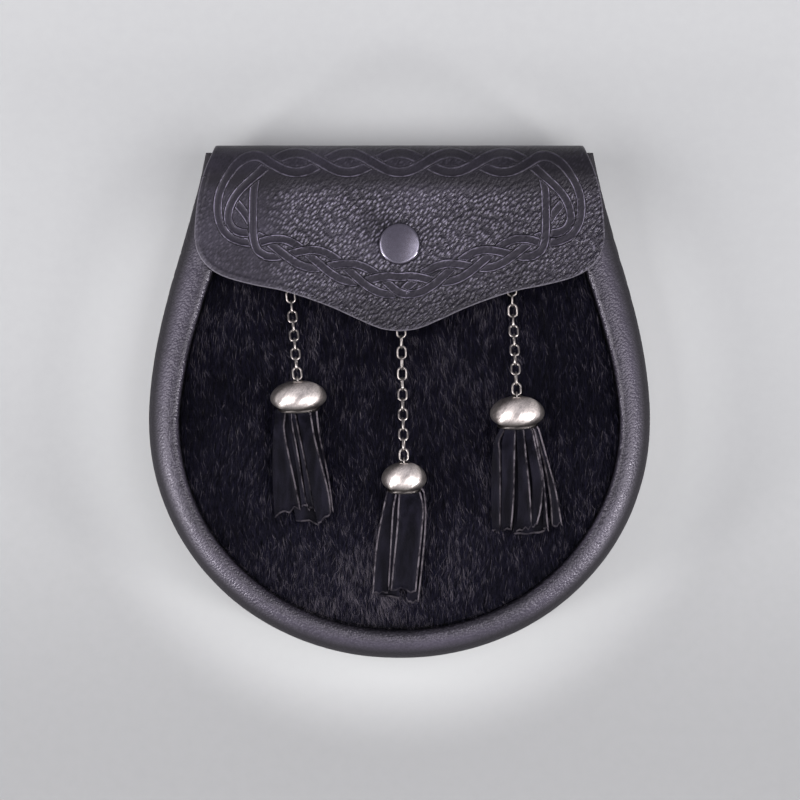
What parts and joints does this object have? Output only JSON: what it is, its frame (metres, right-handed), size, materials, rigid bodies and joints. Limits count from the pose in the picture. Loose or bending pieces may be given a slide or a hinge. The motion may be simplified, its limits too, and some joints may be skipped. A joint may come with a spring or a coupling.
{
  "type": "sporran pouch",
  "caption": "Leather day sporran: rounded pouch with a rolled rim round a hair-on-hide front, a pointed flap tooled with interlace, a press stud, and leather tassels on chains.",
  "frame": {"origin": "on the surface that the pouch lies on, under the middle of its outline", "axes": "+X to the right as the front is seen, +Y towards the flap's fold at the mouth, +Z out of the front"},
  "size_m": [0.1804, 0.1846, 0.0485],
  "materials": {
    "leather": "black pebbled leather, semi-gloss",
    "hair_on_hide": "short black hair combed down",
    "gunmetal": "dark gunmetal, satin",
    "dark_nickel": "dark nickel plate, worn bright on its edges",
    "pewter": "antique pewter, brushed",
    "tassel_leather": "smooth black leather with pale cut edges"
  },
  "bodies": {
    "root": {"gusset": "leather", "back_panel": "leather", "flap": "leather", "belt_loop_left": "leather", "belt_loop_right": "leather", "front_panel": "hair_on_hide", "snap_button": "gunmetal", "snap_stud": "gunmetal", "staple_left": "dark_nickel", "staple_middle": "dark_nickel", "staple_right": "dark_nickel", "chain_left": "dark_nickel", "chain_middle": "dark_nickel", "chain_right": "dark_nickel", "tassel_cap_left": "pewter", "tassel_cap_middle": "pewter", "tassel_cap_right": "pewter", "tassel_left": "tassel_leather", "tassel_middle": "tassel_leather", "tassel_right": "tassel_leather"}
  },
  "joints": []
}
